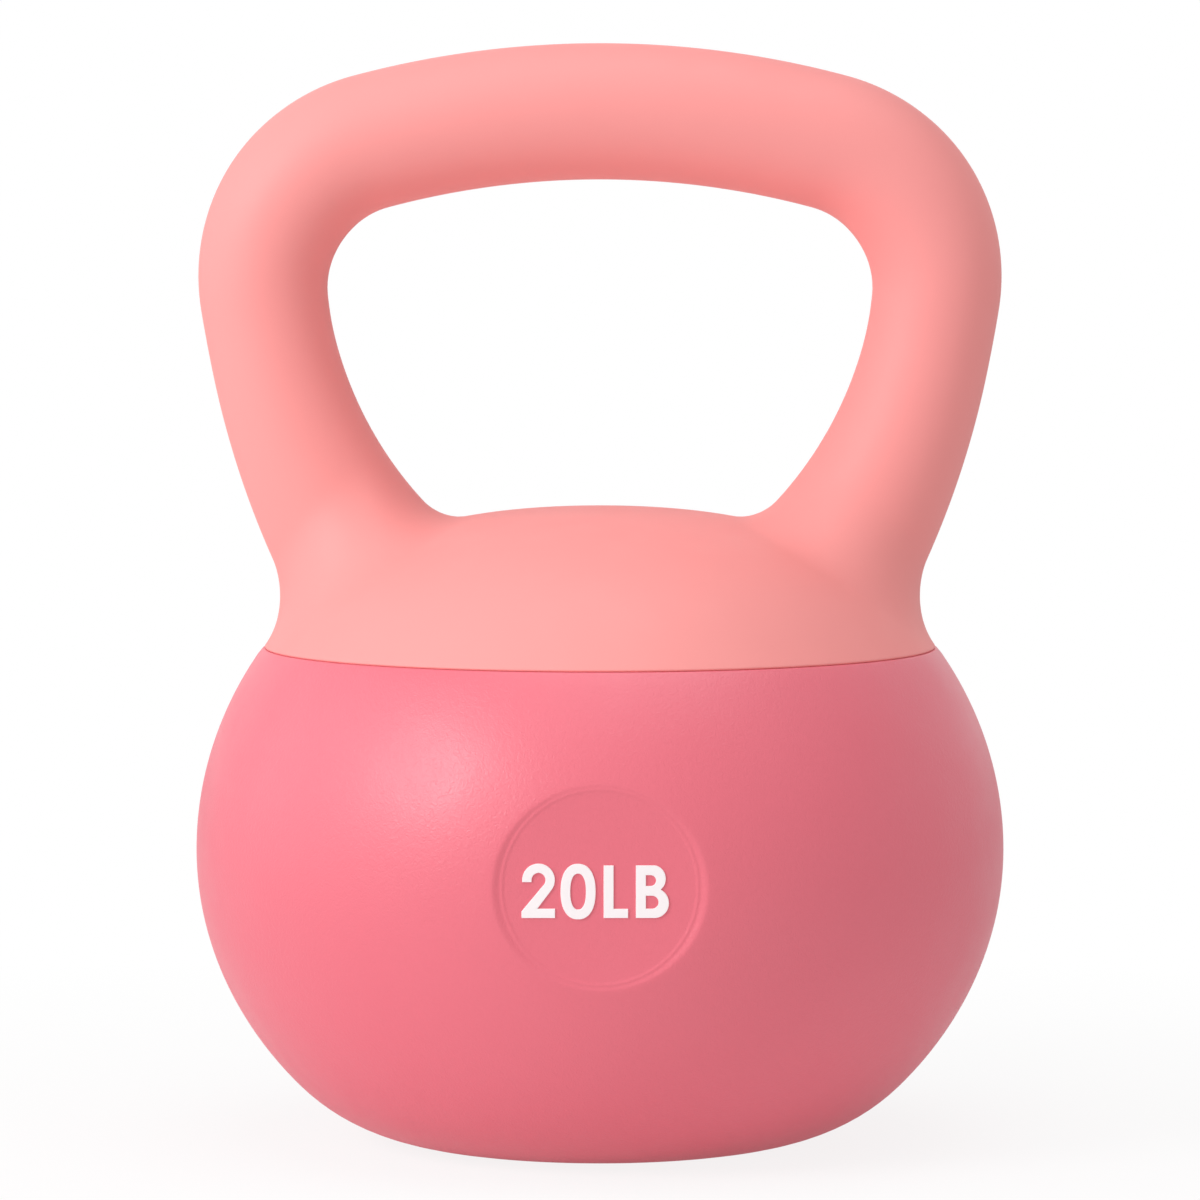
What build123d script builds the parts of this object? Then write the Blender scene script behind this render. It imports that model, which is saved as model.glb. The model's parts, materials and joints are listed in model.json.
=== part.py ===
from build123d import *
import os
from math import acos, asin, atan2, ceil, cos, degrees, pi, radians, sin, sqrt, tan

# A soft kettlebell: a sand-filled vinyl ball that hangs from a moulded handle with a steel core.
# Millimetres, Z up, origin on the floor under the middle of the foot.
# The handle's loop lies in the XZ plane, and the marked side of the ball faces -Y.

# Ball: two half ellipses that meet at the equator, cut flat for the foot
ball_diameter = 190.0
equator_height = 68.4
base_diameter = 107.5  # where the belly would meet the floor if its edge were sharp
foot_edge_radius = 47.0
foot_ring_width = 13.0
dish_depth = 1.5
shoulder_depth = 86.5  # from the equator up to where the shoulder would close at the axis
seam_height = 115.9
seam_edge_radius = 0.6
seam_step = 0.3  # the vinyl rim stands proud of the handle's skirt by this much
shell_wall = 8.0
lip_thickness = 8.0

# Round recess for the weight mark, with a flat floor
recess_diameter = 43.6
recess_depth = 3.9  # below the ball's foremost point
recess_rise = 0.9  # of its middle above the equator
recess_flare = 58.0  # degrees between the recess's side and its axis
recess_edge_radius = 0.8

# Dome over the ball
dome_rise = 33.0
crown_reach = 55.0  # how far the flat crown pulls the dome's curve outwards
shoulder_reach = 20.0  # how far the seam pulls it along the shoulder
dome_wall = 7.0

# Handle loop
handle_height = 257.4
handle_width = 187.4
bar_diameter = 31.8
corner_diameter = 32.5
leg_diameter = 29.4
root_diameter = 39.3
bar_arc_radius = 208.0  # this and the next two at the loop's centre line
corner_radius = 34.0
leg_arc_radius = 136.0
root_inset = 23.8  # of the leg's root from the seam's radius
root_drop = 12.0  # of the leg's root under the crown
root_depth = 20.0  # of the leg's skin past its root, inside the dome
grip_pitch = 6.0  # between the round sections that the skin of the grip is drawn through
foot_pitch = 14.0  # and the skin of each leg's foot
ankle_share = 0.35  # of the leg's skin, where its foot begins
root_fillet_radius = 15.5
root_fillet_margin = 2.0  # least width of plain dome between the fillet and the seam
fillet_share = 0.65  # of the leg's skin, about where the fillet ends on it

# Steel tube inside the loop
tube_diameter = 20.0
tube_wall = 2.0
tube_foot_length = 10.0
moulding_gap = 0.1  # between the tube and the handle moulded round it

# Neck: a spigot on the handle in the shell's mouth, and a plate that clamps the lip
socket_wall = 3.5
spigot_wall = 4.0
mouth_gap = 0.3
plate_rim_gap = 3.0  # between the plate's edge and the inside of the shell
plate_thickness = 4.0
plate_edge_radius = 1.0
plate_window_diameter = 44.0
gasket_thickness = 1.5

# Fasteners
bolt_diameter = 8.0
bolt_head_width = 13.0  # across the flats
bolt_head_height = 5.3
bolt_gap = 0.2  # round the shank, in every hole it passes
washer_diameter = 17.0
washer_thickness = 1.6
end_plug_length = 9.0
end_plug_gap = 0.1
end_plug_chamfer = 0.8
screw_count = 6
screw_diameter = 5.0
screw_head_diameter = 9.5
screw_head_height = 2.8
screw_reach = 14.0  # into the boss
screw_gap = 0.1
boss_diameter = 11.0
boss_inset = 1.5  # of the boss's outside from the spigot's
boss_tip_room = 2.0  # blind depth past the screw's tip

# Filling and its bung
sand_gap = 0.2
sand_headroom = 1.0  # under the bolt heads
bung_diameter = 20.0
bung_flange_diameter = 33.0
bung_flange_thickness = 3.0
bung_barb = 1.6  # of the barb past the hole's side
bung_barb_height = 3.4
bung_gap = 0.15
bung_slot_width = 3.0
bung_slot_depth = 1.2
port_boss_diameter = 31.0
port_boss_height = 4.0  # above the inside of the shell's floor

# Sizes that follow from those above
ball_radius = ball_diameter / 2
belly_depth = equator_height / sqrt(1 - (base_diameter / ball_diameter) ** 2)
seam_angle = asin((seam_height - equator_height) / shoulder_depth)
seam_radius = ball_radius * cos(seam_angle)
lip_bottom = seam_height - lip_thickness
plate_top = lip_bottom - gasket_thickness
plate_bottom = plate_top - plate_thickness
washer_bottom = plate_bottom - washer_thickness
sand_top = washer_bottom - bolt_head_height - sand_headroom
crown_height = seam_height + dome_rise
tube_radius = tube_diameter / 2
tube_bore_radius = tube_radius - tube_wall
port_top = shell_wall + port_boss_height
bung_seat = dish_depth + bung_flange_thickness


def ease(share):
    """Rise smoothly from 0 to 1 as share goes from 0 to 1, and stay flat outside."""
    inside = min(max(share, 0.0), 1.0)
    return inside * inside * (3 - 2 * inside)


def ball_body(inset, top_height):
    """The ball's form, inset from its skin all round, from its floor up to top_height."""
    lower = belly_depth - inset
    upper = shoulder_depth - inset
    foot_turn = degrees(asin((equator_height - inset) / lower))
    top_turn = degrees(asin((top_height - equator_height) / upper))
    middle = (0, equator_height)
    with BuildPart() as body:
        with BuildSketch(Plane.YZ):
            with BuildLine():
                belly = EllipticalCenterArc(middle, ball_radius - inset, lower, -foot_turn, arc_size=foot_turn)
                shoulder = EllipticalCenterArc(middle, ball_radius - inset, upper, 0, arc_size=top_turn)
                Polyline(belly @ 0, (0, inset), (0, top_height), shoulder @ 1)
            make_face()
        revolve()
        fillet(body.edges().group_by(Axis.Z)[0], foot_edge_radius - inset)
    return body.part


def dome_body(drop):
    """The dome on the ball's shoulder, from the equator up, lowered by drop."""
    middle = (0, equator_height - drop)
    across = ball_radius - seam_step
    with BuildPart() as body:
        with BuildSketch(Plane.YZ):
            with BuildLine():
                shoulder = EllipticalCenterArc(middle, across, shoulder_depth, 0, arc_size=degrees(seam_angle))
                seam = shoulder @ 1
                crown = Vector(0, crown_height - drop)
                Bezier(seam, seam + shoulder_reach * (shoulder % 1), crown + Vector(crown_reach, 0), crown)
                Polyline(crown, middle, shoulder @ 0)
            make_face()
        revolve()
    return body.part


# Centre line of the right half of the loop, drawn flat and then stood up in the XZ plane.
# The leg's arc goes on from the corner's arc and ends at the root, which settles where they meet.
corner_x = (handle_width - leg_diameter) / 2 - corner_radius
bar_turn = asin(corner_x / (bar_arc_radius - corner_radius))
bar_height = handle_height - bar_diameter / 2
corner_height = bar_height - bar_arc_radius + (bar_arc_radius - corner_radius) * cos(bar_turn)
root = Vector(seam_radius - root_inset, crown_height - root_drop)
fall = root - Vector(corner_x, corner_height)
spread = leg_arc_radius - corner_radius
along = (leg_arc_radius**2 - spread**2 - fall.length**2) / (2 * spread)
leg_lean = atan2(-fall.Y, fall.X) - acos(along / fall.length)
leg_middle = Vector(corner_x - spread * cos(leg_lean), corner_height + spread * sin(leg_lean))
root_lean = asin((leg_middle.Y - root.Y) / leg_arc_radius)
inwards = Vector(-sin(root_lean), -cos(root_lean))
tube_bend_radius = (root.Y - plate_top - tube_foot_length) / sin(root_lean)
with BuildLine() as half_loop:
    bar = JernArc((0, bar_height), (1, 0), bar_arc_radius, degrees(-bar_turn))
    corner = JernArc(bar @ 1, bar % 1, corner_radius, degrees(bar_turn - leg_lean) - 90)
    leg = TangentArc(corner @ 1, root, tangent=corner % 1)
    bend = JernArc(root, inwards, tube_bend_radius, degrees(root_lean))
    foot = Line(bend @ 1, bend @ 1 - Vector(0, tube_foot_length))
leg_reach = 1 + root_depth / leg.length
with BuildLine() as skin_leg:
    deep_leg = JernArc(corner @ 1, corner % 1, leg_arc_radius, degrees(leg_lean - root_lean) * leg_reach)
bar_edge, corner_edge, leg_edge = [edge.rotate(Axis.X, 90) for edge in (bar, corner, deep_leg)]
with BuildLine() as loop:
    add(half_loop.line.rotate(Axis.X, 90))
    mirror(about=Plane.YZ)
tube_path = loop.wire()
tube_foot_x = (foot @ 1).X
spigot_radius = tube_foot_x + tube_radius + socket_wall
mouth_radius = spigot_radius + mouth_gap
plate_share = (plate_top - equator_height) / (shoulder_depth - shell_wall)
plate_radius = (ball_radius - shell_wall) * sqrt(1 - plate_share**2) - plate_rim_gap
screw_circle_radius = spigot_radius - boss_inset - boss_diameter / 2
screw_first_angle = 180 / screw_count  # keeps the screws clear of the tube's feet

# Skin radius along the loop: fullest in the corner, slimmest below it, swelling towards the root
bar_radius = bar_diameter / 2
leg_radius = leg_diameter / 2
root_radius = root_diameter / 2
filling = corner_diameter / 2 - bar_radius
slimming = corner_diameter / 2 - leg_radius


def bar_skin(share):
    """Radius along the straight grip."""
    return bar_radius


def corner_skin(share):
    """Radius round the corner: fullest half way, then slimming to the leg."""
    return bar_radius + filling * ease(2 * share) - slimming * ease(2 * share - 1)


def leg_skin(share):
    """Radius down the leg, which swells on past its root."""
    return leg_radius + (root_radius - leg_radius) * (share * leg_reach) ** 2


def sections(edge, skin, start, end, pitch):
    """Evenly spaced sections of the skin along an edge: a point, a heading and a radius each."""
    count = ceil(edge.length * (end - start) / pitch)
    shares = [start + (end - start) * step / count for step in range(count + 1)]
    return [(edge @ share, edge % share, skin(share)) for share in shares]


def mirrored(run):
    """The same sections on the loop's left half, in the order of the path."""
    return [
        (Vector(-at.X, at.Y, at.Z), Vector(heading.X, heading.Y, -heading.Z), radius)
        for at, heading, radius in reversed(run)
    ]


# The grip, with its corners and upper legs, is one skin, and the foot of each leg another
half_grip = sections(bar_edge, bar_skin, 0, 1, grip_pitch)
half_grip += sections(corner_edge, corner_skin, 0, 1, grip_pitch)[1:]
half_grip += sections(leg_edge, leg_skin, 0, ankle_share, grip_pitch)[1:]
leg_foot = sections(leg_edge, leg_skin, ankle_share, 1, foot_pitch)
with BuildPart() as loop_skin:
    for run in (mirrored(half_grip[1:]) + half_grip, leg_foot, mirrored(leg_foot)):
        for at, heading, radius in run:
            with BuildSketch(Plane(at, x_dir=(0, 1, 0), z_dir=heading)):
                Circle(radius)
        loft()

# Bent steel tube, the core of the handle
with BuildPart() as handle_tube:
    with BuildSketch(Plane(tube_path @ 0, x_dir=(0, 1, 0), z_dir=tube_path % 0)):
        Circle(tube_radius)
        Circle(tube_bore_radius, mode=Mode.SUBTRACT)
    sweep(path=tube_path)

# The same bend as a solid rod, for the hole in the handle and for the sockets round the feet
with BuildPart() as tube_room:
    with BuildSketch(Plane(tube_path @ 0, x_dir=(0, 1, 0), z_dir=tube_path % 0)):
        Circle(tube_radius + moulding_gap)
    sweep(path=tube_path)

# The hollow under the dome, with the leg sockets and screw bosses left standing in it
with BuildPart() as dome_hollow:
    with BuildSketch(Plane.XY.offset(plate_top)):
        Circle(spigot_radius - spigot_wall)
    extrude(amount=crown_height - plate_top)
    add(dome_body(dome_wall), mode=Mode.INTERSECT)
    with BuildSketch(Plane(tube_path @ 0, x_dir=(0, 1, 0), z_dir=tube_path % 0)):
        Circle(tube_radius + socket_wall)
    sweep(path=tube_path, mode=Mode.SUBTRACT)
    with BuildSketch(Plane.XY.offset(plate_top)):
        with PolarLocations(screw_circle_radius, screw_count, screw_first_angle):
            Circle(boss_diameter / 2)
    extrude(amount=crown_height - plate_top, mode=Mode.SUBTRACT)

# The root's fillet is the path of a ball that rolls in the neck between the leg and the dome.
# It keeps off the seam: this is the ball that touches the dome at the margin above the seam.
shoulder_slope = Vector(-ball_radius * sin(seam_angle), shoulder_depth * cos(seam_angle)).normalized()
shoulder_normal = Vector(shoulder_slope.Y, -shoulder_slope.X)
touch = Vector(seam_radius - seam_step, seam_height) + shoulder_slope * root_fillet_margin - leg_middle
leg_side = leg_arc_radius + leg_skin(fillet_share)
fillet_limit = (touch.dot(touch) - leg_side**2) / (2 * (leg_side - touch.dot(shoulder_normal)))

# Handle and dome in one soft moulding round the tube
with BuildPart() as handle_cover:
    add(dome_body(0))
    add(loop_skin.part)
    fillet(handle_cover.edges(Select.NEW), min(root_fillet_radius, fillet_limit))
    split(bisect_by=Plane.XY.offset(seam_height), keep=Keep.TOP)
    fillet(handle_cover.edges().group_by(Axis.Z)[0], seam_edge_radius)
    with BuildSketch(Plane.XY.offset(plate_top)):
        Circle(spigot_radius)
    extrude(amount=seam_height - plate_top)
    add(dome_hollow.part, mode=Mode.SUBTRACT)
    add(tube_room.part, mode=Mode.SUBTRACT)
    with BuildSketch(Plane.XY.offset(plate_top)):
        with PolarLocations(screw_circle_radius, screw_count, screw_first_angle):
            Circle(screw_diameter / 2 + screw_gap)
    extrude(amount=screw_reach + boss_tip_room, mode=Mode.SUBTRACT)

# Vinyl ball with an inward lip at its mouth, a recess in front and a filling port in its foot
with BuildPart() as lower_shell:
    add(ball_body(0, seam_height))
    foot_radius = sqrt(lower_shell.faces().sort_by(Axis.Z)[0].area / pi)
    fillet(lower_shell.edges().group_by(Axis.Z)[-1], seam_edge_radius)
    add(ball_body(shell_wall, lip_bottom), mode=Mode.SUBTRACT)
    with BuildSketch(Plane.XY.offset(seam_height)):
        Circle(mouth_radius)
    extrude(amount=-lip_thickness, mode=Mode.SUBTRACT)
    with BuildSketch(Plane.XY.offset(shell_wall)):
        Circle(port_boss_diameter / 2)
    extrude(amount=port_boss_height)
    with BuildSketch():
        Circle(foot_radius - foot_ring_width)
    extrude(amount=dish_depth, mode=Mode.SUBTRACT)
    with BuildSketch(Plane.XY.offset(dish_depth)):
        Circle(bung_flange_diameter / 2 + bung_gap)
    extrude(amount=bung_flange_thickness, mode=Mode.SUBTRACT)
    with BuildSketch(Plane.XY.offset(bung_seat)):
        Circle(bung_diameter / 2)
    extrude(amount=port_top - bung_seat, mode=Mode.SUBTRACT)
    recess_floor = Plane.XZ.offset(ball_radius - recess_depth)
    recess_floor.origin += Vector(0, 0, equator_height + recess_rise)
    flare_run = (recess_depth + shell_wall) * tan(radians(recess_flare))
    with BuildSketch(recess_floor):
        Circle(recess_diameter / 2)
    with BuildSketch(recess_floor.offset(recess_depth + shell_wall)):
        Circle(recess_diameter / 2 + flare_run)
    loft(mode=Mode.SUBTRACT)
    recess_rim = lower_shell.edges(Select.NEW).filter_by(GeomType.CIRCLE, reverse=True)
    fillet(recess_rim, recess_edge_radius)

# Plugs in the tube's ends, threaded for the anchor bolts
with BuildPart() as tube_end_plugs:
    with BuildSketch(Plane.XY.offset(plate_top)):
        with Locations((-tube_foot_x, 0), (tube_foot_x, 0)):
            Circle(tube_bore_radius - end_plug_gap)
            Circle(bolt_diameter / 2 + bolt_gap, mode=Mode.SUBTRACT)
    extrude(amount=end_plug_length)
    plug_tops = tube_end_plugs.edges().group_by(Axis.Z)[-1].sort_by(SortBy.RADIUS)[-2:]
    chamfer(plug_tops, end_plug_chamfer)

# Steel plate that carries the tube and clamps the shell's lip
with BuildPart() as anchor_plate:
    with BuildSketch(Plane.XY.offset(plate_bottom)):
        Circle(plate_radius)
        Circle(plate_window_diameter / 2, mode=Mode.SUBTRACT)
        with Locations((-tube_foot_x, 0), (tube_foot_x, 0)):
            Circle(bolt_diameter / 2 + bolt_gap, mode=Mode.SUBTRACT)
        with PolarLocations(screw_circle_radius, screw_count, screw_first_angle):
            Circle(screw_diameter / 2 + screw_gap, mode=Mode.SUBTRACT)
    extrude(amount=plate_thickness)
    plate_rim = anchor_plate.edges().filter_by(GeomType.CIRCLE).sort_by(SortBy.RADIUS)[-2:]
    fillet(plate_rim, plate_edge_radius)

# Sealing ring between the lip and the plate
with BuildPart() as neck_gasket:
    with BuildSketch(Plane.XY.offset(plate_top)):
        Circle(plate_radius - plate_edge_radius)
        Circle(mouth_radius, mode=Mode.SUBTRACT)
    extrude(amount=gasket_thickness)

# Washers under the bolt heads
with BuildPart() as anchor_washers:
    with BuildSketch(Plane.XY.offset(washer_bottom)):
        with Locations((-tube_foot_x, 0), (tube_foot_x, 0)):
            Circle(washer_diameter / 2)
            Circle(bolt_diameter / 2 + bolt_gap, mode=Mode.SUBTRACT)
    extrude(amount=washer_thickness)

# Hexagon bolts up through the plate into the tube's end plugs
with BuildPart() as anchor_bolts:
    with BuildSketch(Plane.XY.offset(washer_bottom)):
        with Locations((-tube_foot_x, 0), (tube_foot_x, 0)):
            RegularPolygon(bolt_head_width / 2, 6, major_radius=False)
    extrude(amount=-bolt_head_height)
    with BuildSketch(Plane.XY.offset(washer_bottom)):
        with Locations((-tube_foot_x, 0), (tube_foot_x, 0)):
            Circle(bolt_diameter / 2)
    extrude(amount=plate_top + end_plug_length - washer_bottom)
    chamfer(anchor_bolts.edges().group_by(Axis.Z)[-1], end_plug_chamfer)

# Pan-head screws up through the plate's rim into the bosses
with BuildPart() as clamp_screws:
    with BuildSketch(Plane.XY.offset(plate_bottom)):
        with PolarLocations(screw_circle_radius, screw_count, screw_first_angle):
            Circle(screw_head_diameter / 2)
    extrude(amount=-screw_head_height)
    fillet(clamp_screws.edges().group_by(Axis.Z)[0], screw_head_height / 2)
    with BuildSketch(Plane.XY.offset(plate_bottom)):
        with PolarLocations(screw_circle_radius, screw_count, screw_first_angle):
            Circle(screw_diameter / 2)
    extrude(amount=plate_thickness + screw_reach)
    chamfer(clamp_screws.edges().group_by(Axis.Z)[-1], screw_diameter / 5)

# Bung pressed into the filling port, with a slot to lift it out
with BuildPart() as fill_plug:
    with BuildSketch(Plane.XY.offset(dish_depth)):
        Circle(bung_flange_diameter / 2)
    extrude(amount=bung_flange_thickness)
    with BuildSketch(Plane.XY.offset(bung_seat)):
        Circle(bung_diameter / 2 - bung_gap)
    extrude(amount=port_top + bung_gap - bung_seat)
    with BuildSketch(Plane.XY.offset(port_top + bung_gap)):
        Circle(bung_diameter / 2 + bung_barb)
    with BuildSketch(Plane.XY.offset(port_top + bung_gap + bung_barb_height)):
        Circle(bung_diameter / 2 - bung_barb)
    loft()
    with BuildSketch(Plane.XY.offset(dish_depth)):
        SlotOverall(bung_diameter, bung_slot_width)
    extrude(amount=bung_slot_depth, mode=Mode.SUBTRACT)

# Iron sand that fills the ball to just under the bolt heads
with BuildPart() as iron_sand:
    add(ball_body(shell_wall + sand_gap, sand_top))
    with BuildSketch(Plane.XY.offset(shell_wall)):
        Circle(port_boss_diameter / 2 + sand_gap)
    extrude(amount=port_boss_height + bung_gap + bung_barb_height + sand_gap, mode=Mode.SUBTRACT)

sub_parts = {
    "handle_cover": handle_cover,
    "handle_tube": handle_tube,
    "tube_end_plugs": tube_end_plugs,
    "anchor_plate": anchor_plate,
    "neck_gasket": neck_gasket,
    "anchor_washers": anchor_washers,
    "anchor_bolts": anchor_bolts,
    "clamp_screws": clamp_screws,
    "lower_shell": lower_shell,
    "fill_plug": fill_plug,
    "iron_sand": iron_sand,
}
os.makedirs("parts", exist_ok=True)
for name, sub_part in sub_parts.items():
    sub_part.part.label = name
    export_step(sub_part.part, f"parts/{name}.step")
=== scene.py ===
"""The looks of a soft kettlebell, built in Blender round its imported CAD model.

Everything is in metres and in the CAD model's frame: Z up, the marked side of the ball towards -Y.
"""

import json
import math

import bmesh
import bpy
import numpy as np
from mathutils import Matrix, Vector


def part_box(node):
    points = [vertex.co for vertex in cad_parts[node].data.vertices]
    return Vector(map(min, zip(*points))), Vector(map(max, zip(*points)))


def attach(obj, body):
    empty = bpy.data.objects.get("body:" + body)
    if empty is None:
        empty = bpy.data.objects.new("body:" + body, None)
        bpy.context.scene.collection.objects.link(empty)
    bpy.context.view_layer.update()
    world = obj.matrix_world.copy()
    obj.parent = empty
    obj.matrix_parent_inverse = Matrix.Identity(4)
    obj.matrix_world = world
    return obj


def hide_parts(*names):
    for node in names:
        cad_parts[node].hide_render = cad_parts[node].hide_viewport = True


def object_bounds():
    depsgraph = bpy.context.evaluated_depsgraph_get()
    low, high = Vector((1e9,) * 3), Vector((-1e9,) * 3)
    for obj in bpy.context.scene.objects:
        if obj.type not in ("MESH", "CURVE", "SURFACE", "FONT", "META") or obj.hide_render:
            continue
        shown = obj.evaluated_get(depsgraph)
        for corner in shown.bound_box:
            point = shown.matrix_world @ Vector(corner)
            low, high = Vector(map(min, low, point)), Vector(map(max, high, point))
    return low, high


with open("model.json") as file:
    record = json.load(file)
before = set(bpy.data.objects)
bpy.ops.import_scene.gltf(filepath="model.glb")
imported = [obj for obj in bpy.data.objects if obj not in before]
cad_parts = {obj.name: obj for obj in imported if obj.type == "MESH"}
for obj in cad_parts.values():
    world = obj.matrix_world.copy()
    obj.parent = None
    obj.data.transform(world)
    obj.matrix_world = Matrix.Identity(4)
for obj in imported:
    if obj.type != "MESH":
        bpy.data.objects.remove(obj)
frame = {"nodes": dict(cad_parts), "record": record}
nodes = frame["nodes"]
cad_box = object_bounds()
scene = bpy.context.scene
scene.view_settings.view_transform = "Standard"

# Camera, at the photograph's viewing angle
camera_place = Vector((0.0, -1.3691, 0.2160))
camera_pitch = 0.065  # radians below the horizon
focal_pixels = 5829.6
photo_pixels = 1200
sensor_width = 36.0  # millimetres, as Blender takes it

# Ball, as in the CAD source but for its finer edges at the seam
ball_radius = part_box("lower_shell")[1].x
equator_height = 0.0684
base_radius = 0.05375  # where the belly would meet the floor if its edge were sharp
foot_edge_radius = 0.047
foot_ring_width = 0.013
dish_depth = 0.0015
shoulder_depth = 0.0865
seam_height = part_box("lower_shell")[1].z
seam_edge_radius = 0.0004  # of the dome's lower edge
rim_edge_radius = 0.0007  # of the ball's upper edge
rim_tuck = 0.7  # share of that radius between the edge's middle and the skin
seam_step = 0.0003
shell_wall = 0.008
mouth_radius = 0.0630
port_radius = 0.01665
belly_depth = equator_height / math.sqrt(1 - (base_radius / ball_radius) ** 2)

# Recess for the weight mark, fitted to the photograph
recess_radius = 0.0221
recess_depth = 0.0037  # of its flat floor below the ball's foremost point
recess_height = equator_height + 0.0009
recess_flare = math.radians(68.0)  # between its side and its axis
recess_softness = 0.0003  # of its rim
bead_height = 0.00015  # fine bead round its floor
bead_width = 0.0004

# Finer patch of the ball's mesh round the recess
patch_half_height = 0.033
patch_half_columns = 17
patch_margin = 0.0052  # of its first full circle, outside the recess
fine_outside = 0.0045  # the finest rings start and end this far outside and inside the recess's edge
fine_inside = 0.0016
fine_step = 0.00018
floor_shares = (0.9, 0.85, 0.75, 0.6, 0.4, 0.2)  # of the recess's radius, for the rings on its floor

# Dome and handle loop, as in the CAD source but for the slimming and the blends at the roots
dome_rise = 0.033
crown_reach = 0.055
shoulder_reach = 0.020
skirt_angle = 0.25  # radians of the dome's skin that go on below the seam
dome_points = 320  # along its profile
handle_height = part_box("handle_cover")[1].z
handle_width = 0.1874
bar_radius = 0.0159
leg_radius = 0.0147
slim_start = 0.0175  # along the corner, from the bar
slim_length = 0.0455
root_radius = 0.01965
bar_arc_radius = 0.208
corner_radius = 0.034
leg_arc_radius = 0.136
root_inset = 0.0238
root_drop = 0.012
root_depth = 0.020
outer_fillet_radius = 0.0155  # at the legs' roots, on the outside
inner_fillet_radius = 0.0085  # on the side of the hand gap
front_fillet_radius = 0.0215  # and in front and behind
cover_wall = 0.003
skin_pitch = 0.0015  # of the handle's mesh
widest_cosine = 0.95  # between two skins that are still blended
tiny = 1e-9

# Weight mark on the recess's floor
mark_left = -0.0173
mark_baseline = 0.0626
mark_height = 0.0004  # above the recess's floor
mark_sink = 0.0002  # below it
mark_edge = 0.00012  # round edge of the letters

# Studio: each lamp's direction from the object, distance, size and power in watts
lamps = {
    "key": ((-0.71, -0.59, 0.45), 1.6, 0.6, 11.5),
    "side": ((-1.0, -0.05, 0.2), 1.5, 1.6, 6.0),
    "top": ((0.1, -0.2, 1.0), 1.6, 1.4, 11.0),
    "front": ((0.05, -1.0, 0.2), 2.2, 1.6, 2.2),
}
lamp_aim = Vector((0.0, 0.0, 0.12))
ambient = 0.38
ambient_colour = (1.0, 0.92, 0.92, 1.0)
table_reach = 6.0
table_gap = 0.0002  # below the foot
table_glow = 0.24  # share of the table's own light in what falls on the object
table_white = 0.86  # and in what the camera sees near the object
fade_start = 0.08  # from here on the table turns white, away from the object
fade_end = 0.35


def add_mesh(name, vertices, faces):
    """A new mesh object with its faces turned outwards and smoothly shaded."""
    mesh = bpy.data.meshes.new(name)
    mesh.from_pydata([tuple(v) for v in vertices], [], faces)
    shape = bmesh.new()
    shape.from_mesh(mesh)
    loose = [vertex for vertex in shape.verts if not vertex.link_faces]
    bmesh.ops.delete(shape, geom=loose, context="VERTS")
    bmesh.ops.recalc_face_normals(shape, faces=shape.faces)
    shape.to_mesh(mesh)
    shape.free()
    mesh.shade_smooth()
    piece = bpy.data.objects.new(name, mesh)
    scene.collection.objects.link(piece)
    return piece


def belly_turn(inset):
    """How far below the equator the foot's round edge leaves the belly, as the ellipse's angle."""
    across = ball_radius - inset
    deep = belly_depth - inset
    blend = foot_edge_radius - inset
    low, high = 0.0, math.pi / 2
    for _ in range(60):
        turn = (low + high) / 2
        normal = Vector((math.cos(turn) / across, math.sin(turn) / deep)).normalized()
        middle = equator_height - deep * math.sin(turn) + blend * normal.y
        if middle > blend + inset:
            low = turn
        else:
            high = turn
    return turn


def ball_profile(inset, top, rows):
    """Radius and height of the ball's form, inset from its skin, from its foot up to top."""
    across = ball_radius - inset
    deep = belly_depth - inset
    blend = foot_edge_radius - inset
    turn = belly_turn(inset)
    edge = Vector((math.cos(turn) / across, math.sin(turn) / deep)).normalized()
    leave = Vector((across * math.cos(turn), equator_height - deep * math.sin(turn)))
    middle = leave - Vector((edge.x, -edge.y)) * blend
    lean = math.atan2(edge.x, edge.y)
    points = []
    for share in np.linspace(0, 1, rows, endpoint=False):
        angle = lean * share
        points.append((middle.x + blend * math.sin(angle), middle.y - blend * math.cos(angle)))
    for angle in np.linspace(turn, 0, 2 * rows, endpoint=False):
        points.append((across * math.cos(angle), equator_height - deep * math.sin(angle)))
    upper = shoulder_depth - inset
    for angle in np.linspace(0, math.asin((top - equator_height) / upper), 2 * rows):
        points.append((across * math.cos(angle), equator_height + upper * math.sin(angle)))
    return points


def soft_max(first, second, softness):
    """The larger of two numbers, rounded where they cross."""
    return (first + second + np.sqrt((first - second) ** 2 + softness**2)) / 2


def ball_front(x, z):
    """Depth of the ball's front, recess included, for places given by x and height z."""
    rise = z - equator_height
    depth = np.where(rise > 0, shoulder_depth, belly_depth)
    radius = ball_radius * np.sqrt(1 - (rise / depth) ** 2)
    ball = ball_radius - np.sqrt(radius**2 - x**2)
    away = np.hypot(x, z - recess_height)
    side = soft_max((away - recess_radius) / math.tan(recess_flare), 0.0, recess_softness / 2)
    bead = bead_height * np.exp(-(((away - recess_radius + bead_width) / bead_width) ** 2))
    return soft_max(ball, recess_depth - side - bead, recess_softness) - ball_radius


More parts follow.
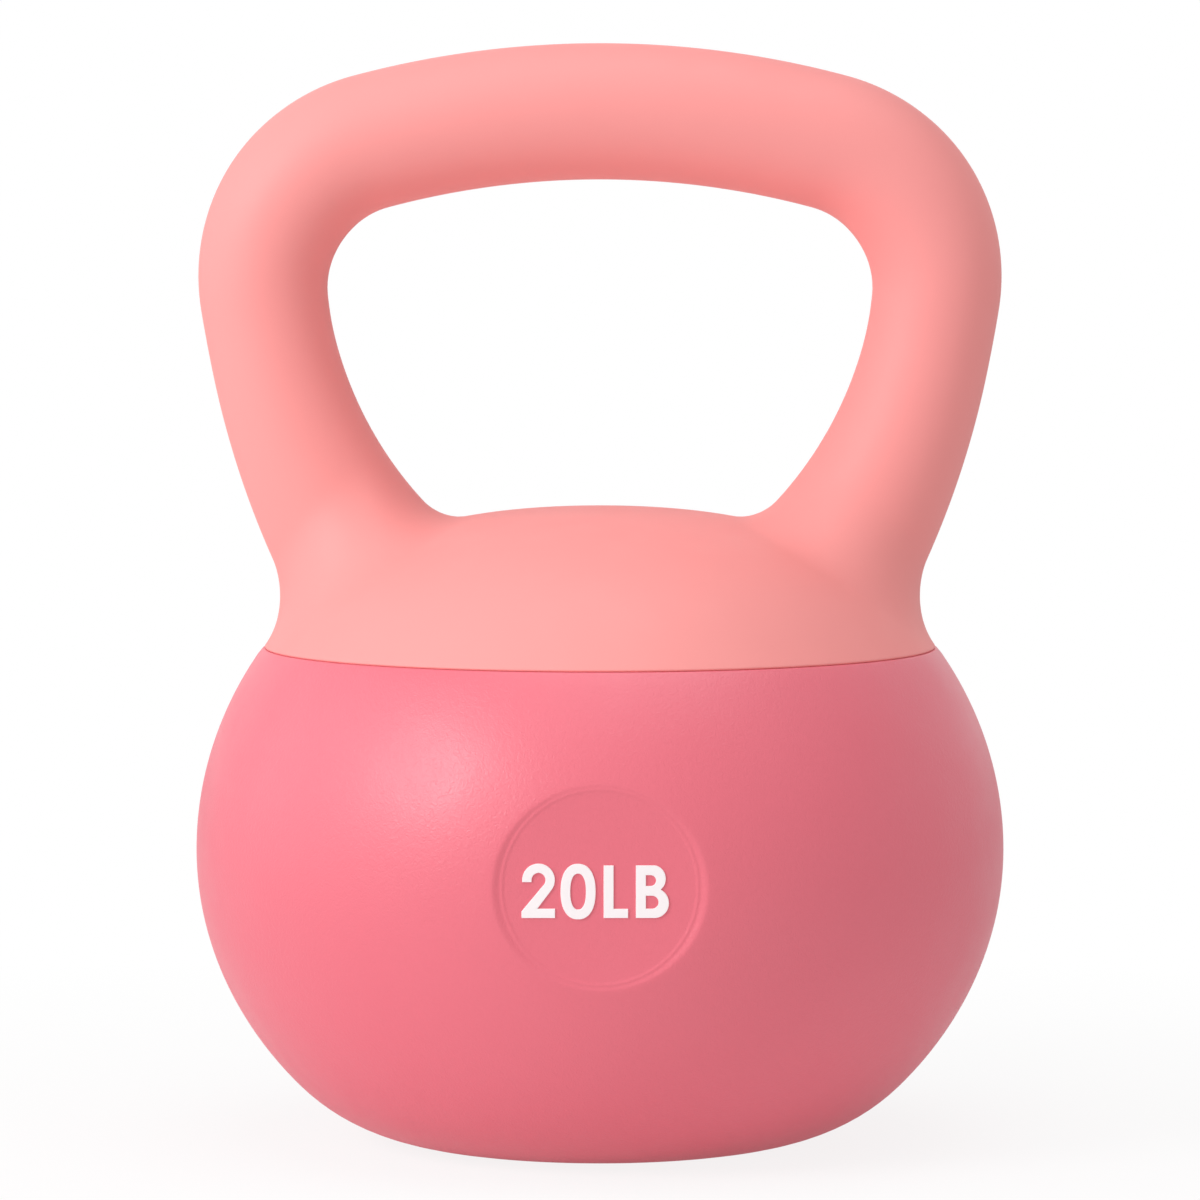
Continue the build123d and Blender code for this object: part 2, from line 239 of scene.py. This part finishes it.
def make_ball():
    """The vinyl shell: turned on its axis, with a finer round patch for the recess in front."""
    columns = 288
    outer = ball_profile(0, seam_height, 14)
    foot_radius = outer[0][0]
    rim_lean = math.atan2(outer[-1][0] - outer[-2][0], outer[-1][1] - outer[-2][1])
    skin = outer[:-1]
    rim_middle = Vector((outer[-1][0] - rim_edge_radius * rim_tuck, seam_height - rim_edge_radius))
    for share in np.linspace(0, 1, 6):
        angle = -rim_lean + (math.pi / 2 + rim_lean) * share
        skin.append((
            rim_middle.x + rim_edge_radius * math.cos(angle),
            rim_middle.y + rim_edge_radius * math.sin(angle),
        ))
    lip = [(mouth_radius, seam_height), (mouth_radius, seam_height - shell_wall)]
    inside = ball_profile(shell_wall, seam_height - shell_wall, 8)[::-1]
    port = [(port_radius, shell_wall), (port_radius, dish_depth)]
    dish = [(foot_radius - foot_ring_width, dish_depth), (foot_radius - foot_ring_width, 0.0)]
    profile = skin + lip + inside + port + dish

    vertices = []
    for radius, height in profile:
        for column in range(columns):
            angle = 2 * math.pi * column / columns
            vertices.append((radius * math.sin(angle), -radius * math.cos(angle), height))
    heights = [height for _, height in skin]
    patch_low = recess_height - patch_half_height
    patch_high = recess_height + patch_half_height
    first_row = max(row for row, height in enumerate(heights) if height < patch_low)
    last_row = min(row for row, height in enumerate(heights) if height > patch_high)
    left = -patch_half_columns
    right = patch_half_columns

    def at(row, column):
        return row % len(profile) * columns + column % columns

    faces = []
    for row in range(len(profile)):
        for column in range(-columns // 2, columns // 2):
            if first_row <= row < last_row and left <= column < right:
                continue
            lower = (at(row, column), at(row, column + 1))
            upper = (at(row + 1, column + 1), at(row + 1, column))
            faces.append(lower + upper)

    # Rings from the gap's edge to a circle, then across the rim and the floor to the middle
    border = [at(first_row, column) for column in range(left, right)]
    border += [at(row, right) for row in range(first_row, last_row)]
    border += [at(last_row, column) for column in range(right, left, -1)]
    border += [at(row, left) for row in range(last_row, first_row, -1)]
    edge = np.array([(vertices[i][0], vertices[i][2] - recess_height) for i in border])
    unit = edge / np.linalg.norm(edge, axis=1)[:, None]
    outer_circle = recess_radius + patch_margin
    rings = [edge + (unit * outer_circle - edge) * share for share in np.linspace(0, 1, 6)[1:]]
    fine = np.arange(recess_radius + fine_outside, recess_radius - fine_inside, -fine_step)
    coarse = [recess_radius * share for share in floor_shares]
    rings += [unit * radius for radius in (*fine, *coarse)]
    previous = border
    for ring in rings:
        x = ring[:, 0]
        z = ring[:, 1] + recess_height
        start = len(vertices)
        vertices += list(zip(x, ball_front(x, z), z))
        current = list(range(start, start + len(border)))
        for i in range(len(border)):
            j = (i + 1) % len(border)
            faces.append((previous[i], previous[j], current[j], current[i]))
        previous = current
    middle = len(vertices)
    vertices.append((0.0, recess_depth - ball_radius, recess_height))
    for i in range(len(border)):
        faces.append((previous[i], previous[(i + 1) % len(border)], middle))
    return add_mesh("ball", vertices, faces)


# Centre line of the loop's right half, as three arcs about middles in the XZ plane
seam_angle = math.asin((seam_height - equator_height) / shoulder_depth)
seam_radius = ball_radius * math.cos(seam_angle)
crown_height = seam_height + dome_rise
corner_x = handle_width / 2 - leg_radius - corner_radius
bar_middle = handle_height - bar_radius - bar_arc_radius
bar_turn = math.asin(corner_x / (bar_arc_radius - corner_radius))
corner_height = bar_middle + (bar_arc_radius - corner_radius) * math.cos(bar_turn)
root = Vector((seam_radius - root_inset, crown_height - root_drop))
fall = root - Vector((corner_x, corner_height))
arc_step = leg_arc_radius - corner_radius
along = (leg_arc_radius**2 - arc_step**2 - fall.length_squared) / (2 * arc_step)
leg_lean = math.atan2(-fall.y, fall.x) - math.acos(along / fall.length)
leg_middle = Vector((
    corner_x - arc_step * math.cos(leg_lean),
    corner_height + arc_step * math.sin(leg_lean),
))
root_lean = math.asin((leg_middle.y - root.y) / leg_arc_radius)
leg_reach = 1 + root_depth / (leg_arc_radius * (root_lean - leg_lean))
deep_lean = leg_lean + (root_lean - leg_lean) * leg_reach
corner_length = corner_radius * (math.pi / 2 + leg_lean - bar_turn)
leg_length = leg_arc_radius * (deep_lean - leg_lean)


def ease(share):
    """Rise smoothly from 0 to 1 as share goes from 0 to 1, and stay flat outside."""
    inside = np.clip(share, 0.0, 1.0)
    return inside * inside * (3 - 2 * inside)


def slimmed_skin(run):
    """The tube's skin radius at a distance past the bar's end."""
    return bar_radius - (bar_radius - leg_radius) * ease((run - slim_start) / slim_length)


def bar_skin(share):
    return np.full_like(share, bar_radius)


def corner_skin(share):
    return slimmed_skin(share * corner_length)


def leg_skin(share):
    grown = (root_radius - leg_radius) * (share * leg_reach) ** 2
    return slimmed_skin(corner_length + share * leg_length) + grown


# Each arc: its middle, its radius, its first and last angle from upright, and its skin's radius
quarter = math.pi / 2
loop_arcs = [
    (Vector((0.0, bar_middle)), bar_arc_radius, 0.0, bar_turn, bar_skin),
    (Vector((corner_x, corner_height)), corner_radius, bar_turn, quarter + leg_lean, corner_skin),
    (leg_middle, leg_arc_radius, quarter + leg_lean, quarter + deep_lean, leg_skin),
]


def loop_distance(points):
    """Distance of points from the loop's skin, negative inside, and the way straight out of it."""
    x = np.abs(points[:, 0])
    best = np.full(len(points), np.inf)
    radius = np.zeros(len(points))
    nearest = np.zeros((len(points), 2))
    for middle, arc_radius, first, last, skin in loop_arcs:
        angle = np.clip(np.arctan2(x - middle.x, points[:, 2] - middle.y), first, last)
        on_arc = np.stack([middle.x + arc_radius * np.sin(angle), middle.y + arc_radius * np.cos(angle)], 1)
        gap = np.hypot(x - on_arc[:, 0], points[:, 2] - on_arc[:, 1])
        closer = gap < best
        best = np.where(closer, gap, best)
        radius = np.where(closer, skin((angle - first) / (last - first)), radius)
        nearest = np.where(closer[:, None], on_arc, nearest)
    side = np.where(points[:, 0] < 0, -1.0, 1.0)
    away = np.stack([(x - nearest[:, 0]) * side, points[:, 1], points[:, 2] - nearest[:, 1]], 1)
    reach = np.linalg.norm(away, axis=1)
    return reach - radius, away / np.maximum(reach, tiny)[:, None]


def dome_profile(count):
    """Radius and height of the dome's skin, from below the seam up to the crown."""
    across = ball_radius - seam_step
    angle = np.linspace(seam_angle - skirt_angle, seam_angle, count // 4, endpoint=False)
    shoulder = np.stack([across * np.cos(angle), equator_height + shoulder_depth * np.sin(angle)], 1)
    seam = np.array([across * math.cos(seam_angle), seam_height])
    slope = np.array([-across * math.sin(seam_angle), shoulder_depth * math.cos(seam_angle)])
    pull = seam + slope / np.linalg.norm(slope) * shoulder_reach
    share = np.linspace(0, 1, count)[:, None]
    crown = np.array([0.0, crown_height])
    flat = np.array([crown_reach, crown_height])
    weights = [(1 - share) ** 3, 3 * share * (1 - share) ** 2, 3 * share**2 * (1 - share), share**3]
    curve = weights[0] * seam + weights[1] * pull + weights[2] * flat + weights[3] * crown
    return np.concatenate([shoulder, curve])


def dome_distance(points):
    """Distance of points from the dome's skin, negative inside, and the way straight out of it."""
    profile = dome_profile(dome_points)
    batch = 4000
    tangent = np.gradient(profile, axis=0)
    normal = np.stack([tangent[:, 1], -tangent[:, 0]], 1)
    normal /= np.linalg.norm(normal, axis=1)[:, None]
    across = np.hypot(points[:, 0], points[:, 1])
    flat = np.stack([across, points[:, 2]], 1)
    index = np.concatenate([
        np.argmin(((part[:, None, :] - profile[None]) ** 2).sum(2), axis=1)
        for part in np.array_split(flat, max(1, len(flat) // batch))
    ])
    out = normal[index]
    distance = ((flat - profile[index]) * out).sum(1)
    share = out[:, 0] / np.maximum(across, tiny)
    return distance, np.stack([points[:, 0] * share, points[:, 1] * share, out[:, 1]], 1)


def cover_distance(points):
    """Distance of points from the skin of loop and dome together, and the way straight out of it.

    A ball rolled in the neck blends the two, and its radius changes round each leg.
    """
    loop, loop_out = loop_distance(points)
    dome, dome_out = dome_distance(points)
    cosine = np.clip((loop_out * dome_out).sum(1), -widest_cosine, widest_cosine)
    inward = root.x - np.abs(points[:, 0])
    inward /= np.maximum(np.hypot(inward, points[:, 1]), tiny)
    side_fillet = np.where(inward > 0, inner_fillet_radius, outer_fillet_radius)
    fillet = front_fillet_radius + (side_fillet - front_fillet_radius) * inward**2
    u = fillet - loop
    v = fillet - dome
    spare = 1 - cosine**2
    loop_part = (u - cosine * v) / spare
    dome_part = (v - cosine * u) / spare
    rolled = (loop_part > 0) & (dome_part > 0)
    reach = np.sqrt(np.maximum((u * u - 2 * cosine * u * v + v * v) / spare, 1e-12))
    out = loop_part[:, None] * loop_out + dome_part[:, None] * dome_out
    out /= np.maximum(np.linalg.norm(out, axis=1), tiny)[:, None]
    plain = np.minimum(loop, dome)
    plain_out = np.where((loop < dome)[:, None], loop_out, dome_out)
    distance = np.where(rolled, fillet - reach, plain)
    return distance, np.where(rolled[:, None], out, plain_out)


def rough_cover():
    """Tube and dome as two rough closed forms in one mesh, as a start for the smooth skin."""
    vertices = []
    faces = []
    stations = 30  # along each arc
    ring = 48
    turns = 96
    path = []
    for middle, arc_radius, first, last, skin in loop_arcs:
        shares = np.linspace(0, 1, stations)
        for share, radius in zip(shares, skin(shares)):
            angle = first + (last - first) * share
            out = Vector((math.sin(angle), math.cos(angle)))
            path.append((middle + out * arc_radius, out, radius))
    whole = [(-1, *station) for station in path[:0:-1]] + [(1, *station) for station in path]
    for side, at, out, radius in whole:
        for step in range(ring):
            angle = 2 * math.pi * step / ring
            place = at + out * radius * math.cos(angle)
            vertices.append((side * place.x, radius * math.sin(angle), place.y))
    for row in range(len(whole) - 1):
        for step in range(ring):
            after = (step + 1) % ring
            base = row * ring
            faces.append((base + step, base + after, base + ring + after, base + ring + step))
    faces.append(tuple(range(ring)))
    faces.append(tuple(range(len(vertices) - ring, len(vertices))))
    profile = dome_profile(40)[:-1]
    start = len(vertices)
    for radius, height in profile:
        for step in range(turns):
            angle = 2 * math.pi * step / turns
            vertices.append((radius * math.cos(angle), radius * math.sin(angle), height))
    for row in range(len(profile) - 1):
        for step in range(turns):
            after = (step + 1) % turns
            base = start + row * turns
            faces.append((base + step, base + after, base + turns + after, base + turns + step))
    faces.append(tuple(range(start, start + turns)))
    faces.append(tuple(range(len(vertices) - turns, len(vertices))))
    return add_mesh("rough_cover", vertices, faces)


def settle(vertices, steps, inset=0.0):
    """Moves vertices onto the cover's skin, or inside it by inset."""
    place = np.array([vertex.co for vertex in vertices])
    for _ in range(steps):
        distance, out = cover_distance(place)
        place -= distance[:, None] * out
    place -= inset * out
    for vertex, co in zip(vertices, place):
        vertex.co = co


def cut_below(shape, geometry, height):
    """Cuts part of a mesh at a height, drops what is below and returns the edges of the cut."""
    plane = {"plane_co": (0, 0, height), "plane_no": (0, 0, 1)}
    bmesh.ops.bisect_plane(shape, geom=geometry, dist=1e-7, clear_inner=True, **plane)
    return [edge for edge in shape.edges if edge.is_boundary and abs(edge.verts[0].co.z - height) < 1e-6]


def make_cover():
    """Handle and dome: one smooth moulding with blends at the legs' roots, and a wall inside."""
    rough = rough_cover()
    remesh = rough.modifiers.new("remesh", "REMESH")
    remesh.mode = "VOXEL"
    remesh.voxel_size = skin_pitch
    even = bpy.data.meshes.new_from_object(rough.evaluated_get(bpy.context.evaluated_depsgraph_get()))
    bpy.data.objects.remove(rough)
    shape = bmesh.new()
    shape.from_mesh(even)
    cut_below(shape, shape.verts[:] + shape.edges[:] + shape.faces[:], seam_height - 2 * cover_wall)
    axes = {"use_axis_x": True, "use_axis_y": True, "use_axis_z": True}
    for _ in range(2):
        settle(shape.verts[:], 3)
        bmesh.ops.smooth_vert(shape, verts=shape.verts, factor=0.5, **axes)
    settle(shape.verts[:], 4)

    # A second skin inside the first, facing inwards
    skin = shape.verts[:] + shape.edges[:] + shape.faces[:]
    lining = bmesh.ops.duplicate(shape, geom=skin)["geom"]
    settle([part for part in lining if isinstance(part, bmesh.types.BMVert)], 1, cover_wall)
    bmesh.ops.reverse_faces(shape, faces=[part for part in lining if isinstance(part, bmesh.types.BMFace)])
    lining_edge = cut_below(shape, lining, seam_height)

    # The rim at the seam: a small round edge, then the flat underside as far as the lining
    slope = np.diff(dome_profile(dome_points), axis=0)[dome_points // 4]
    first_angle = math.atan2(-slope[0], slope[1])
    skin = [part for part in skin if part.is_valid]
    rim = cut_below(shape, skin, seam_height + seam_edge_radius * (1 + math.sin(first_angle)))
    last_angle = first_angle
    for angle in np.linspace(first_angle, -math.pi / 2, 8)[1:]:
        grown = bmesh.ops.extrude_edge_only(shape, edges=rim)["geom"]
        rim = [part for part in grown if isinstance(part, bmesh.types.BMEdge)]
        for vertex in [part for part in grown if isinstance(part, bmesh.types.BMVert)]:
            across = math.hypot(vertex.co.x, vertex.co.y)
            height = seam_height + seam_edge_radius * (1 + math.sin(angle))
            step = seam_edge_radius * (math.cos(angle) - math.cos(last_angle))
            vertex.co.x *= (across + step) / across
            vertex.co.y *= (across + step) / across
            vertex.co.z = height
        last_angle = angle
    bmesh.ops.bridge_loops(shape, edges=rim + lining_edge)
    shape.to_mesh(even)
    shape.free()
    even.shade_smooth()
    piece = bpy.data.objects.new("cover", even)
    scene.collection.objects.link(piece)
    return piece


def curve_run(middle, across, up, first, last, power=2.0):
    """Points along an oval's arc between two angles in degrees; a higher power squares the oval."""
    points = []
    for angle in np.radians(np.linspace(first, last, 2 + int(abs(last - first) / 6))):
        x = math.copysign(abs(math.cos(angle)) ** (2 / power), math.cos(angle))
        y = math.copysign(abs(math.sin(angle)) ** (2 / power), math.sin(angle))
        points.append((middle[0] + across * x, middle[1] + up * y))
    return points


def letter_outlines():
    """Each letter's place and outlines in millimetres from the mark's left end and baseline."""
    two = [(0.0, 0.0), (7.4, 0.0), (7.4, 2.06), (3.5, 2.06)]
    two += curve_run((3.75, 8.4), 3.6, 3.65, -32, 180) + [(0.15, 7.95), (2.22, 7.95)]
    two += curve_run((3.75, 8.4), 1.53, 1.6, 180, -38) + [(0.0, 1.45)]
    nought = curve_run((3.87, 5.85), 3.87, 6.15, 0, 356, 2.3)
    nought_gap = curve_run((3.87, 5.85), 1.72, 3.98, 0, 356, 2.3)
    stem = [(0.0, 0.0), (5.4, 0.0), (5.4, 2.03), (2.2, 2.03), (2.2, 11.65), (0.0, 11.65)]
    double = [(0.0, 0.0)] + curve_run((4.1, 3.3), 3.2, 3.3, -90, 66)
    double += curve_run((3.9, 8.7), 2.7, 2.95, -56, 90) + [(0.0, 11.65)]
    upper_gap = [(2.22, 7.1)] + curve_run((3.25, 8.3), 1.2, 1.2, -90, 90) + [(2.22, 9.5)]
    lower_gap = [(2.22, 2.06)] + curve_run((3.55, 3.5), 1.45, 1.44, -90, 90) + [(2.22, 4.94)]
    return [
        (0.0, [two]),
        (8.6, [nought, nought_gap]),
        (18.1, [stem]),
        (25.2, [double, upper_gap, lower_gap]),
    ]


def make_mark():
    """The weight in plain raised letters on the recess's flat floor."""
    data = bpy.data.curves.new("mark_outline", "CURVE")
    data.dimensions = "2D"
    data.fill_mode = "BOTH"
    data.extrude = (mark_height + mark_sink) / 2 - mark_edge
    data.bevel_depth = mark_edge
    data.bevel_resolution = 2
    data.offset = -mark_edge
    for left, outlines in letter_outlines():
        for outline in outlines:
            spline = data.splines.new("POLY")
            spline.points.add(len(outline) - 1)
            spline.use_cyclic_u = True
            for point, (x, y) in zip(spline.points, outline):
                point.co = ((left + x) / 1000, y / 1000, 0.0, 1.0)
    drawn = bpy.data.objects.new("mark_outline", data)
    scene.collection.objects.link(drawn)
    mesh = bpy.data.meshes.new_from_object(drawn.evaluated_get(bpy.context.evaluated_depsgraph_get()))
    bpy.data.objects.remove(drawn)
    depth = recess_depth - ball_radius - (mark_height - mark_sink) / 2
    shape = bmesh.new()
    shape.from_mesh(mesh)
    bmesh.ops.remove_doubles(shape, verts=shape.verts, dist=1e-6)
    for vertex in shape.verts:
        x, y, front = vertex.co
        vertex.co = (mark_left + x, depth - front, mark_baseline + y)
    bmesh.ops.recalc_face_normals(shape, faces=shape.faces)
    shape.to_mesh(mesh)
    shape.free()
    mesh.shade_flat()
    piece = bpy.data.objects.new("weight_mark", mesh)
    scene.collection.objects.link(piece)
    return piece


def shader_node(tree, kind, inputs=None, **settings):
    """Adds a node; inputs holds values, or sockets to link from."""
    node = tree.nodes.new(kind)
    for name, value in settings.items():
        setattr(node, name, value)
    for name, value in (inputs or {}).items():
        if isinstance(value, bpy.types.NodeSocket):
            tree.links.new(value, node.inputs[name])
        else:
            node.inputs[name].default_value = value
    return node


def start_material(name):
    """A new material with its node tree and its main shader."""
    material = bpy.data.materials.new(name)
    material.use_nodes = True
    tree = material.node_tree
    return material, tree, tree.nodes["Principled BSDF"]


def noise(tree, place, size, detail=2.0, distortion=0.0):
    """A noise whose features are about size metres wide, as a socket from 0 to 1."""
    inputs = {"Vector": place, "Scale": 1 / size, "Detail": detail, "Distortion": distortion}
    return shader_node(tree, "ShaderNodeTexNoise", inputs).outputs["Fac"]


def spread(tree, value, low, high):
    """Maps a noise's middle range onto low to high."""
    inputs = {"Value": value, "From Min": 0.3, "From Max": 0.7, "To Min": low, "To Max": high}
    return shader_node(tree, "ShaderNodeMapRange", inputs).outputs["Result"]


def blend_colours(tree, share, first, second):
    """A colour between two, by a socket from 0 to 1."""
    node = shader_node(tree, "ShaderNodeMix", data_type="RGBA")
    tree.links.new(share, node.inputs[0])
    node.inputs[6].default_value = (*first, 1.0)
    node.inputs[7].default_value = (*second, 1.0)
    return node.outputs[2]


def vinyl(name, colour, deep_colour, roughness, grain_size, grain_height, gloss=0.5):
    """Moulded soft vinyl: a faint cloud in its colour and a leathery grain in its skin."""
    material, tree, shader = start_material(name)
    place = shader_node(tree, "ShaderNodeTexCoord").outputs["Object"]
    cloud_size = 0.045
    polish_size = 0.012
    polish_range = 0.03
    cloud = spread(tree, noise(tree, place, cloud_size, detail=3.0), 0.0, 1.0)
    tree.links.new(blend_colours(tree, cloud, colour, deep_colour), shader.inputs["Base Color"])
    patches = noise(tree, place, polish_size)
    polish = spread(tree, patches, roughness - polish_range, roughness + polish_range)
    tree.links.new(polish, shader.inputs["Roughness"])
    shader.inputs["Specular IOR Level"].default_value = gloss
    grain = noise(tree, place, grain_size, detail=3.0, distortion=1.2)
    inputs = {"Height": grain, "Distance": grain_height, "Strength": 1.0}
    bump = shader_node(tree, "ShaderNodeBump", inputs)
    tree.links.new(bump.outputs["Normal"], shader.inputs["Normal"])
    return material


def brushed_steel(name):
    """Bare steel with fine scratches that run one way and a faint stain."""
    material, tree, shader = start_material(name)
    place = shader_node(tree, "ShaderNodeTexCoord").outputs["Object"]
    scratch_size = 0.004
    scratch_depth = 0.00002
    stain_size = 0.03
    stretch = shader_node(tree, "ShaderNodeMapping", {"Vector": place, "Scale": (1.0, 1.0, 12.0)})
    scratch = noise(tree, stretch.outputs["Vector"], scratch_size, detail=4.0)
    stain = spread(tree, noise(tree, place, stain_size, detail=3.0), 0.0, 1.0)
    colour = blend_colours(tree, stain, (0.54, 0.55, 0.56), (0.46, 0.47, 0.48))
    tree.links.new(colour, shader.inputs["Base Color"])
    tree.links.new(spread(tree, scratch, 0.28, 0.46), shader.inputs["Roughness"])
    shader.inputs["Metallic"].default_value = 1.0
    inputs = {"Height": scratch, "Distance": scratch_depth, "Strength": 0.6}
    bump = shader_node(tree, "ShaderNodeBump", inputs)
    tree.links.new(bump.outputs["Normal"], shader.inputs["Normal"])
    return material


def loose_sand(name):
    """Dark iron grains, each with its own shade, and a rough skin."""
    material, tree, shader = start_material(name)
    place = shader_node(tree, "ShaderNodeTexCoord").outputs["Object"]
    grain_count = 900.0  # in a metre
    grain_depth = 0.0006
    grains = shader_node(tree, "ShaderNodeTexVoronoi", {"Vector": place, "Scale": grain_count})
    shade = shader_node(tree, "ShaderNodeSeparateColor", {"Color": grains.outputs["Color"]}).outputs[0]
    colour = blend_colours(tree, shade, (0.05, 0.045, 0.043), (0.16, 0.145, 0.14))
    tree.links.new(colour, shader.inputs["Base Color"])
    tree.links.new(spread(tree, shade, 0.5, 0.75), shader.inputs["Roughness"])
    inputs = {"Height": grains.outputs["Distance"], "Distance": grain_depth, "Strength": 0.8}
    bump = shader_node(tree, "ShaderNodeBump", inputs)
    tree.links.new(bump.outputs["Normal"], shader.inputs["Normal"])
    return material


handle_vinyl = vinyl(
    "handle_vinyl",
    colour=(0.93, 0.324, 0.311),
    deep_colour=(0.925, 0.317, 0.304),
    roughness=0.6,
    grain_size=0.0007,
    grain_height=0.00002,
    gloss=0.58,
)
ball_vinyl = vinyl(
    "ball_vinyl",
    colour=(0.80, 0.156, 0.210),
    deep_colour=(0.795, 0.150, 0.203),
    roughness=0.40,
    grain_size=0.0009,
    grain_height=0.0001,
    gloss=0.65,
)
mark_white = vinyl(
    "mark_white",
    colour=(0.98, 0.94, 0.95),
    deep_colour=(0.96, 0.92, 0.93),
    roughness=0.5,
    grain_size=0.0006,
    grain_height=0.00001,
)
gasket_rubber = vinyl(
    "gasket_rubber",
    colour=(0.035, 0.034, 0.034),
    deep_colour=(0.026, 0.026, 0.027),
    roughness=0.8,
    grain_size=0.0008,
    grain_height=0.00004,
)
bung_vinyl = vinyl(
    "bung_vinyl",
    colour=(0.72, 0.18, 0.24),
    deep_colour=(0.69, 0.17, 0.225),
    roughness=0.55,
    grain_size=0.0008,
    grain_height=0.00003,
)
cad_looks = {
    "steel": brushed_steel("steel"),
    "gasket_rubber": gasket_rubber,
    "bung_vinyl": bung_vinyl,
    "sand": loose_sand("sand"),
}
for row in frame["record"]["subparts"]:
    if row["material_slot"] in cad_looks:
        mesh = nodes[row["node"]].data
        mesh.materials.clear()
        mesh.materials.append(cad_looks[row["material_slot"]])


def dress(piece, material, slot, *replaced):
    """Gives a piece its material, hangs it on the root body and hides the CAD nodes that it stands for; the
    slot argument is not used.
    """
    piece.data.materials.clear()
    piece.data.materials.append(material)
    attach(piece, "root")
    if replaced:
        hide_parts(*replaced)


dress(make_ball(), ball_vinyl, "ball_vinyl", "lower_shell")
dress(make_cover(), handle_vinyl, "handle_vinyl", "handle_cover")
dress(make_mark(), mark_white, "ball_vinyl")


def make_camera():
    data = bpy.data.cameras.new("camera")
    data.sensor_width = sensor_width
    data.lens = focal_pixels / photo_pixels * sensor_width
    camera = bpy.data.objects.new("camera", data)
    camera.location = camera_place
    camera.rotation_euler = (math.pi / 2 - camera_pitch, 0.0, 0.0)
    scene.collection.objects.link(camera)
    scene.camera = camera


def softbox(name, direction, distance, size, power):
    """A square area light that faces the middle of the object."""
    data = bpy.data.lights.new(name, "AREA")
    data.size = size
    data.energy = power
    light = bpy.data.objects.new(name, data)
    place = Vector(direction).normalized()
    light.location = lamp_aim + place * distance
    light.rotation_euler = place.to_track_quat("Z", "Y").to_euler()
    scene.collection.objects.link(light)


def make_world():
    """Even, faintly warm light all round, seen as white by the camera and in reflections."""
    world = bpy.data.worlds.new("studio")
    world.use_nodes = True
    scene.world = world
    tree = world.node_tree
    tree.nodes.clear()
    rays = shader_node(tree, "ShaderNodeLightPath").outputs
    seen = rays["Is Camera Ray"]
    for other in ("Is Glossy Ray", "Is Transmission Ray"):
        both = shader_node(tree, "ShaderNodeMath", operation="MAXIMUM")
        tree.links.new(seen, both.inputs[0])
        tree.links.new(rays[other], both.inputs[1])
        seen = both.outputs[0]
    lit = shader_node(tree, "ShaderNodeBackground", {"Color": ambient_colour, "Strength": ambient})
    white = shader_node(tree, "ShaderNodeBackground", {"Color": (1, 1, 1, 1), "Strength": 1.0})
    mixed = shader_node(tree, "ShaderNodeMixShader")
    tree.links.new(seen, mixed.inputs[0])
    tree.links.new(lit.outputs[0], mixed.inputs[1])
    tree.links.new(white.outputs[0], mixed.inputs[2])
    output = shader_node(tree, "ShaderNodeOutputWorld")
    tree.links.new(mixed.outputs[0], output.inputs["Surface"])


def make_floor():
    """A wide table with some light of its own: it keeps a faint shadow and turns white further off."""
    far = table_reach
    corners = [(-far, -far, 0), (far, -far, 0), (far, far, 0), (-far, far, 0)]
    mesh = bpy.data.meshes.new("floor")
    mesh.from_pydata(corners, [], [(0, 1, 2, 3)])
    floor = bpy.data.objects.new("floor", mesh)
    floor.location.z = cad_box[0].z - table_gap
    scene.collection.objects.link(floor)
    material = bpy.data.materials.new("floor")
    material.use_nodes = True
    tree = material.node_tree
    tree.nodes.clear()
    rays = shader_node(tree, "ShaderNodeLightPath").outputs
    matte = shader_node(tree, "ShaderNodeBsdfDiffuse", {"Color": (0.9, 0.9, 0.9, 1)})
    white = shader_node(tree, "ShaderNodeEmission", {"Color": (1, 1, 1, 1), "Strength": 1.0})
    place = shader_node(tree, "ShaderNodeTexCoord").outputs["Object"]
    away = shader_node(tree, "ShaderNodeVectorMath", {0: place}, operation="LENGTH").outputs["Value"]
    inputs = {"Value": away, "From Min": fade_start, "From Max": fade_end}
    inputs.update({"To Min": table_white, "To Max": 1.0})
    seen = shader_node(tree, "ShaderNodeMapRange", inputs).outputs["Result"]
    share = shader_node(tree, "ShaderNodeMix")
    tree.links.new(rays["Is Camera Ray"], share.inputs[0])
    share.inputs[2].default_value = table_glow
    tree.links.new(seen, share.inputs[3])
    mixed = shader_node(tree, "ShaderNodeMixShader")
    tree.links.new(share.outputs[0], mixed.inputs[0])
    tree.links.new(matte.outputs[0], mixed.inputs[1])
    tree.links.new(white.outputs[0], mixed.inputs[2])
    output = shader_node(tree, "ShaderNodeOutputMaterial")
    tree.links.new(mixed.outputs[0], output.inputs["Surface"])
    mesh.materials.append(material)


make_camera()
make_world()
for lamp_name, lamp in lamps.items():
    softbox(lamp_name, *lamp)
make_floor()
